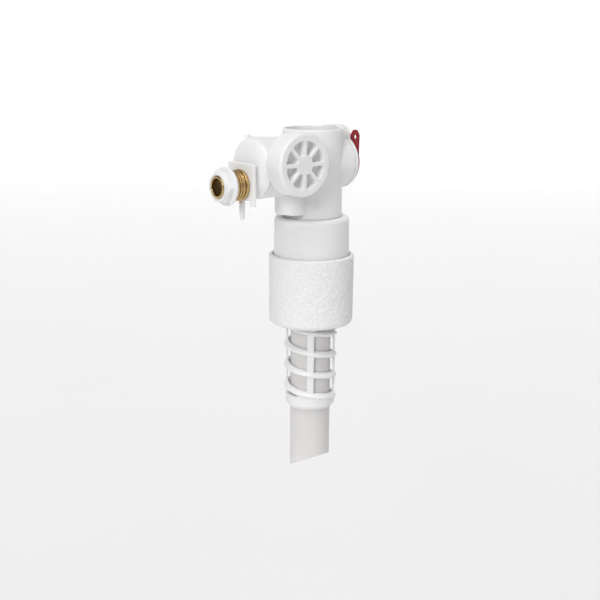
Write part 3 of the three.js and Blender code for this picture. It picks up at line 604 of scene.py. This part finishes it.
def spindle():
    """The lever's pivot pin and the washer under its head."""
    tip, under, top = 22.9, 33.2, 34.7
    outline = rounded([(0, tip, 0), (SPINDLE, tip, 0.5), (SPINDLE, under, 0),
                       (SPINDLE_HEAD, under, 0.2), (SPINDLE_HEAD, top, 0.9), (0, top, 0)])
    placed(held(along_x(lathe(outline, 96), DRUM_Z)), "spindle_pin", ["lever_spindle"], "head",
           "white_plastic")
    ring = rounded([(4.3, 32.4, 0.1), (7, 32.4, 0.15), (7, 32.9, 0.15), (4.3, 32.9, 0.1)])
    placed(held(along_x(lathe(ring, 96), DRUM_Z)), "spindle_washer", ["lever_washer"], "head",
           "steel")


# ---- the float, the stem and the tube --------------------------------------------------------

def foam_float():
    """A foam cup whose skin is sunk along the seams between its fused beads."""
    low, ledge, top, hole, wall = 125.4, 137.3, 181.1, 24.6, 30.1
    outline = rounded([(hole, low, 0.6), (33.2, low, 4.2), (33.6, top, 2.6), (wall, top, 0.8),
                       (wall, ledge, 0), (hole, ledge, 0)], 8)
    work = lathe(spaced(outline, 0.62), 352)
    work.normal_update()
    bead, groove, sink, dimple = 3.3, 0.3, 0.4, 0.12
    shifts = []
    for v in work.verts:
        if math.hypot(v.co.x, v.co.y) < hole + 0.4:
            continue
        near = noise.voronoi(v.co / bead)[0]
        seam = max(0.0, 1 - (near[1] - near[0]) / groove)
        shifts.append((v, v.normal * -(sink * seam ** 1.5 + dimple * near[0])))
    for v, shift in shifts:
        v.co += shift
    placed(held(work), "float_foam", ["float"], "float", "foam", 75)


def stem():
    """The cage that slides on the down tube: a foot ring, a head ring, four bars and the thread."""
    ring_top, flange, bar_bore = 67, 21.4, 18
    foot = lathe(rounded([(STEM_BORE, STEM_FOOT, 0.3), (17.5, STEM_FOOT, 0.4),
                          (STEM_BAR, 59.6, 0.5), (STEM_BAR, ring_top, 0.5),
                          (STEM_BORE, ring_top, 0.3)]))
    head = lathe(rounded([(STEM_BORE, STEM_HEAD, 0), (flange, STEM_HEAD, 0.5),
                          (flange, STEM_TOP, 0.8), (STEM_BORE, STEM_TOP, 0.3)]))
    adds = [foot, head]
    bars, half, steps = 4, math.radians(8), 8
    for i in range(bars):
        middle = math.radians(50 + 360 / bars * i)
        arc = [middle - half + 2 * half * k / steps for k in range(steps + 1)]
        outline = [(STEM_BAR * math.cos(a), STEM_BAR * math.sin(a)) for a in arc]
        outline += [(bar_bore * math.cos(a), bar_bore * math.sin(a)) for a in reversed(arc)]
        adds.append(prism(outline, 63.5, STEM_HEAD + 0.5))
    adds.append(thread_rib())
    rod_hole = upright(rod(1.45, 186.5, 200, 32), ROD_X, ROD_Y)
    part = moulded(carved(adds, [rod_hole]), 0.4, 3, 0.6)
    placed(part, "cage_stem", ["stem"], "stem", "white_plastic", 50)


def thread_rib():
    """The coarse left-handed rib that winds round the cage."""
    end, lowest, crosses_x = 157.0, 65.0, 114.408
    turns = (end - lowest) / PITCH
    start = -2 * math.pi * (end - crosses_x) / PITCH
    inner, flank, root, crest = 16.7, 18.2, 2.7, 0.7
    section = rounded([(inner, -root, 0.3), (flank, -root, 0.8), (STEM_THREAD, -crest, 0.5),
                       (STEM_THREAD, crest, 0.5), (flank, root, 0.8), (inner, root, 0.3)], 3)
    steps = int(96 * turns)
    work = bmesh.new()
    rings = []
    for k in range(steps + 1):
        a = start + 2 * math.pi * turns * k / steps
        z = end - PITCH * turns * k / steps
        c, s = math.cos(a), math.sin(a)
        rings.append([work.verts.new((r * c, r * s, z + up)) for r, up in section])
    for one, two in zip(rings, rings[1:]):
        for i in range(len(section)):
            j = (i + 1) % len(section)
            work.faces.new((one[i], one[j], two[j], two[i]))
    work.faces.new(rings[0])
    work.faces.new(rings[-1])
    bmesh.ops.recalc_face_normals(work, faces=work.faces)
    return work


def down_tube():
    """A pipe whose lower end is cut at a slant, lowest at the back."""
    middle, slope = 8.5, 0.53
    outline = rounded([(TUBE_BORE, 0, 0.3), (TUBE, 0, 0.3), (TUBE, TUBE_TOP, 0.3),
                       (TUBE_BORE, TUBE_TOP, 0.3)], 3)
    work = lathe(spaced(outline, 4), 128)
    for v in work.verts:
        lift = middle - slope * v.co.y
        v.co.z += lift * (1 - v.co.z / TUBE_TOP)
    placed(held(work), "tube_pipe", ["down_tube"], "head", "tube_plastic")


def push_rod():
    low, high = 186.8, 256
    outline = rounded([(0, low, 0), (ROD, low, 0.2), (ROD, high, 0.9), (0, high, 0)])
    placed(held(upright(lathe(outline, 32), ROD_X, ROD_Y)), "rod_pin", ["push_rod"], "stem",
           "white_plastic")


# ---- what keeps its CAD shape ----------------------------------------------------------------

def carried_over():
    """The inner pieces stay as the CAD drew them, with softened edges and real finishes."""
    finishes = {s["node"]: s["material_slot"] for s in frame["record"]["subparts"]}
    for name, node in frame["nodes"].items():
        if node.hide_render:
            continue
        node.data.materials.clear()
        node.data.materials.append(MATERIALS[finishes[name]])
        if name in ("pilot_lever", "level_ring", "float_insert", "valve_seat"):
            edged(node, 0.2 * MM, 2)


# ---- camera, light and floor -----------------------------------------------------------------

def camera():
    """Looks down on the valve from its left. Its distance and height are in metres."""
    far, height, aside = 0.858, 0.3536, 0.0087
    data = bpy.data.cameras.new("camera")
    data.sensor_width = 36.0
    data.lens = 66.6
    data.clip_end = 20.0
    cam = bpy.data.objects.new("camera", data)
    azimuth, pitch, roll = math.radians(-CAMERA_BEARING), math.radians(13.8), math.radians(0.45)
    away = Vector((math.sin(azimuth), -math.cos(azimuth), 0))
    right = Vector((math.cos(azimuth), math.sin(azimuth), 0))
    cam.location = Vector((AXIS_X, 0, TIP + height)) + away * far - right * aside
    look = -away * math.cos(pitch) + Vector((0, 0, -math.sin(pitch)))
    cam.rotation_mode = "QUATERNION"
    cam.rotation_quaternion = look.to_track_quat("-Z", "Y") @ Quaternion((0, 0, 1), roll)
    bpy.context.scene.collection.objects.link(cam)
    bpy.context.scene.camera = cam


def soft_sun(name, elevation, bearing, strength, spread):
    """A broad light from a height and a bearing, counted from -Y towards -X, in degrees."""
    data = bpy.data.lights.new(name, "SUN")
    data.energy = strength
    data.angle = math.radians(spread)
    lamp = bpy.data.objects.new(name, data)
    e, a = math.radians(elevation), math.radians(bearing)
    source = Vector((-math.sin(a) * math.cos(e), -math.cos(a) * math.cos(e), math.sin(e)))
    lamp.rotation_mode = "QUATERNION"
    lamp.rotation_quaternion = (-source).to_track_quat("-Z", "Y")
    bpy.context.scene.collection.objects.link(lamp)


def studio():
    world = bpy.data.worlds.new("studio")
    bpy.context.scene.world = world
    world.use_nodes = True
    shade = world.node_tree.nodes["Background"]
    shade.inputs["Color"].default_value = (0.96, 0.97, 1.0, 1)
    shade.inputs["Strength"].default_value = 0.26
    soft_sun("key", 26, 62, 1.3, 24)
    soft_sun("top", 68, 40, 1.45, 40)
    bpy.context.scene.view_settings.view_transform = "Standard"


def floor():
    """A pale sweep in metres: flat under the valve, then curving up behind it."""
    near, reach, bend, wall, half, drop, steps = -8.0, 6.0, 2.5, 9.0, 14.0, 0.6, 24
    profile = [(near, 0.0)]
    for k in range(steps + 1):
        a = math.pi / 2 * k / steps
        profile.append((reach + bend * math.sin(a), bend - bend * math.cos(a)))
    profile.append((reach + bend, wall))
    work = bmesh.new()
    rows = [[work.verts.new((side, along, up)) for side in (-half, half)] for along, up in profile]
    for one, two in zip(rows, rows[1:]):
        work.faces.new((one[0], one[1], two[1], two[0]))
    plane = held(work, "floor")
    plane.data.polygons.foreach_set("use_smooth", [True] * len(plane.data.polygons))
    plane.rotation_euler = (0, 0, math.radians(-CAMERA_BEARING))
    plane.location = (AXIS_X, 0, TIP - drop)
    material = finish_of("floor", (0.90, 0.897, 0.892), (0.89, 0.887, 0.882), 2, (0.85, 0.95),
                         bump=0.02)
    plane.data.materials.append(material)


valve_body()
hood()
inlet_cover()
plate()
nipple()
back_nut()
nut_washer()
star_cap()
end_cover()
lever()
spindle()
foam_float()
stem()
down_tube()
push_rod()
carried_over()
camera()
studio()
floor()
